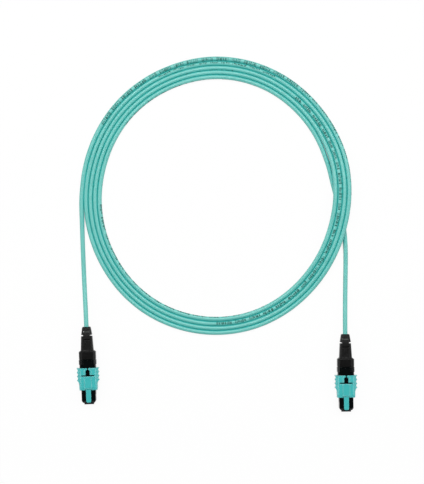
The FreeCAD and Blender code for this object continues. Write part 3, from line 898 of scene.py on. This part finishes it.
def wind_spring(turns, wire_radius, low, high):
    """A spring about the Y axis that fills the box from low to high, with its end turns closed."""
    form = bmesh.new()
    middle = (low + high) / 2
    half_x, half_z = (high.x - low.x) / 2 - wire_radius, (high.z - low.z) / 2 - wire_radius
    closed = 2 * wire_radius
    open_turns = turns - 2
    # The closed turn at each end takes up one thickness of wire, and the wire itself one more.
    open_pitch = (high.y - low.y - 3 * closed) / open_turns
    sides = [2 * math.pi * k / WIRE_SIDES for k in range(WIRE_SIDES)]
    rings = []
    for i in range(round(turns * STEPS_A_TURN) + 1):
        turn = i / STEPS_A_TURN
        rise = closed * min(turn, 1) + open_pitch * min(max(turn - 1, 0), open_turns)
        rise += closed * max(turn - (turns - 1), 0)
        a = 2 * math.pi * turn
        x, z = middle.x + half_x * math.cos(a), middle.z + half_z * math.sin(a)
        station = Vector((x, low.y + wire_radius + rise, z))
        outward = Vector((math.cos(a) / half_x, 0, math.sin(a) / half_z)).normalized()
        rings.append([
            station + (outward * math.cos(b) + Vector((0, math.sin(b), 0))) * wire_radius
            for b in sides
        ])
    skin_over(form, rings)
    return form


# %% Put the springs in place of the plain ones
FERRULE_WIRE, SLEEVE_WIRE = 0.25 * MM, 0.14 * MM  # the wires' radii
SPRINGS = {  # turns, wire radius, and the joint that presses it
    "ferrule_spring": (5.5, FERRULE_WIRE, "ferrule_float"),
    "sleeve_spring_left": (7, SLEEVE_WIRE, "sleeve_pull"),
    "sleeve_spring_right": (7, SLEEVE_WIRE, "sleeve_pull"),
}

for node, (turns, wire_radius, joint) in SPRINGS.items():
    low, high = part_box(f"{node}_a")
    form = wind_spring(turns, wire_radius, low, high)
    for end in ENDS:
        piece = fit(f"round_{node}", form, end, spring_wire)
        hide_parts(f"{node}_{end}")
        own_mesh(piece)
    print(node, "has", len(form.faces), "faces")
    form.free()

# %% [markdown]
# ## Fibres
#
# Twelve coated fibres lie side by side as a ribbon. Their coats follow the usual order of colours,
# blue first and aqua last, so that a technician can tell them apart. Each is a thin rod here. One
# material serves all of them: every face carries its fibre's number, and a colour ramp turns the
# number into a colour. At the ferrule's face the bare glass ends show as twelve tiny bright dots.

# %% The coats' colours, in the usual order
FIBRE_COATS = [
    "#1F57B8", "#E07A1F", "#1E9A4A", "#7A4A28", "#76818A", "#E6E6E0",
    "#C4242B", "#1B1B1D", "#E8C72B", "#7A3F98", "#E58FA4", "#46B8B2",
]
COAT_PATCH = 0.6  # the gloss varies over about two fibres' width


def fibre_coats():
    """Acrylate coats in twelve colours: thin, smooth and slightly glossy."""
    coat = empty_material("coloured_fibre_coats")
    number = add(coat, "Attribute", attribute_name="fibre_number")
    ramp = add(coat, "ValToRGB", {"Fac": number.outputs["Fac"]})
    ramp.color_ramp.interpolation = "CONSTANT"
    stops = ramp.color_ramp.elements
    while len(stops) < len(FIBRE_COATS):
        stops.new(1.0)
    for i, (stop, colour) in enumerate(zip(stops, FIBRE_COATS)):
        stop.position = i / len(FIBRE_COATS)
        stop.color = linear(colour)
    place = add(coat, "TexCoord")
    uneven = add(coat, "TexNoise", {
        "Vector": place.outputs["Object"], "Scale": per_mm(COAT_PATCH),
    })
    polish = add(coat, "MapRange", {
        "Value": uneven.outputs["Fac"], "To Min": 0.25, "To Max": 0.4,
    })
    skin = add(coat, "BsdfPrincipled", {
        "Base Color": ramp.outputs["Color"], "Roughness": polish.outputs[0],
    })
    add(coat, "OutputMaterial", {"Surface": skin.outputs[0]})
    return coat


coats = fibre_coats()

# %% Draw the ribbon of twelve fibres
FIBRE_SIDES = 10


def rod(mesh, x, z, y_ends, radius, sides):
    """A straight round rod along Y."""
    angles = [2 * math.pi * k / sides for k in range(sides)]
    skin_over(mesh, [
        [(x + radius * math.cos(a), y, z + radius * math.sin(a)) for a in angles] for y in y_ends
    ])


low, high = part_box("fibre_ribbon_a")
middle_z = (low.z + high.z) / 2
fibre_pitch = (high.x - low.x) / len(FIBRE_COATS)
ribbon = bmesh.new()
number_layer = ribbon.faces.layers.float.new("fibre_number")
for i in range(len(FIBRE_COATS)):
    before = len(ribbon.faces)
    x = low.x + fibre_pitch * (i + 0.5)
    rod(ribbon, x, middle_z, (low.y, high.y), fibre_pitch / 2, FIBRE_SIDES)
    ribbon.faces.ensure_lookup_table()
    for face in ribbon.faces[before:]:
        face[number_layer] = (i + 0.5) / len(FIBRE_COATS)

for end in ENDS:
    piece = fit("twelve_fibres", ribbon, end, coats)
    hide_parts(f"fibre_ribbon_{end}")
    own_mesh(piece)
print("fibre pitch in the ribbon:", round(fibre_pitch / MM, 3), "mm")
ribbon.free()

# %% The glass ends in the ferrule's face
GLASS_D = 0.125
GLASS_PITCH = 0.25
GLASS_SIDES = 12
GLASS_DEPTH = 0.5
PROUD = 0.002  # polishing leaves the glass a little proud of the resin
POLISH_CLOUD = 0.1  # polishing leaves one end a little clearer than the next


def bare_glass():
    """Polished silica: clear glass over a dark hole, so each end is a small bright spot."""
    glass = empty_material("polished_silica")
    place = add(glass, "TexCoord")
    cloud = add(glass, "TexNoise", {
        "Vector": place.outputs["Object"], "Scale": per_mm(POLISH_CLOUD),
    })
    colour = add(glass, "MixRGB", {
        "Fac": cloud.outputs["Fac"], "Color1": linear("#9DB4C4"), "Color2": linear("#D6E4EC"),
    })
    skin = add(glass, "BsdfPrincipled", {
        "Base Color": colour.outputs[0], "Roughness": 0.05, "IOR": 1.46,
    })
    add(glass, "OutputMaterial", {"Surface": skin.outputs[0]})
    return glass


front_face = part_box("ferrule_a")[0].y
glass_y = (front_face - PROUD * MM, front_face + GLASS_DEPTH * MM)
glass_ends = bmesh.new()
for i in range(len(FIBRE_COATS)):
    x = GLASS_PITCH * (i - (len(FIBRE_COATS) - 1) / 2) * MM
    rod(glass_ends, x, AXIS_HEIGHT * MM, glass_y, GLASS_D / 2 * MM, GLASS_SIDES)
silica = bare_glass()
for end in ENDS:
    fit("glass_ends", glass_ends, end, silica, body=f"ferrule_group_{end}")
glass_ends.free()
print("glass ends:", len(FIBRE_COATS), "of", GLASS_D, "mm, every", GLASS_PITCH, "mm")

# %% [markdown]
# ## A grey sheet that paints the shade in the boot's slots
#
# Slots across the boot let it bend. From above, a rear slot shows shade round the cord. A thin grey sheet stands
# in for that shade: it is painted shade, matt and grey, not black. The boot's solid is open there, and the sheet
# is a thin block round the cord, in two halves. Each half is one outline, drawn across the cord and carried
# through the slot.

# %% A thin block round the cord, inside the slot
SLOT_Y = 23.0
SKIN_HALF_Y = 0.5
SKIN_HALF_Z = 1.95
SKIN_INSIDE = 1.62
SKIN_REACH = {-1: 1.85, 1: 2.4}  # the half at the left reaches a little less far and lets light through
ARC_STEPS = 16


def slot_skin():
    """The two halves round the bore."""
    form = bmesh.new()
    arc = [math.pi / 2 - math.pi * i / ARC_STEPS for i in range(ARC_STEPS + 1)]
    inside = [(SKIN_INSIDE * math.cos(a), SKIN_INSIDE * math.sin(a)) for a in arc]
    for side, reach in SKIN_REACH.items():
        outside = [
            (0, -SKIN_HALF_Z), (reach, -SKIN_HALF_Z), (reach, SKIN_HALF_Z), (0, SKIN_HALF_Z),
        ]
        outline = outside + inside
        loops = []
        for y in (SLOT_Y - SKIN_HALF_Y, SLOT_Y + SKIN_HALF_Y):
            places = [mm(side * x, y, AXIS_HEIGHT + z) for x, z in outline]
            loops.append([form.verts.new(place) for place in places])
        for i in range(len(outline)):
            j = (i + 1) % len(outline)
            form.faces.new((loops[0][i], loops[0][j], loops[1][j], loops[1][i]))
        form.faces.new(loops[0])
        form.faces.new(loops[1])
    return form


# Painted shade: a pale matt grey with no highlight of its own, standing in for the shade seen in the slot.
painted_slot_shade = moulded(
    "grey_painted_slot_shade", "#4A4D4C", "#5C605E",
    roughness=0.6, grain=0.2, grain_depth=0.01, edge_radius=0.05, gloss=0.2,
)
skin_form = slot_skin()
for end in ENDS:
    fit("boot_slot_shade_sheet", skin_form, end, painted_slot_shade)
skin_form.free()
print("skin in the slot:", 2 * SKIN_HALF_Y, "mm thick")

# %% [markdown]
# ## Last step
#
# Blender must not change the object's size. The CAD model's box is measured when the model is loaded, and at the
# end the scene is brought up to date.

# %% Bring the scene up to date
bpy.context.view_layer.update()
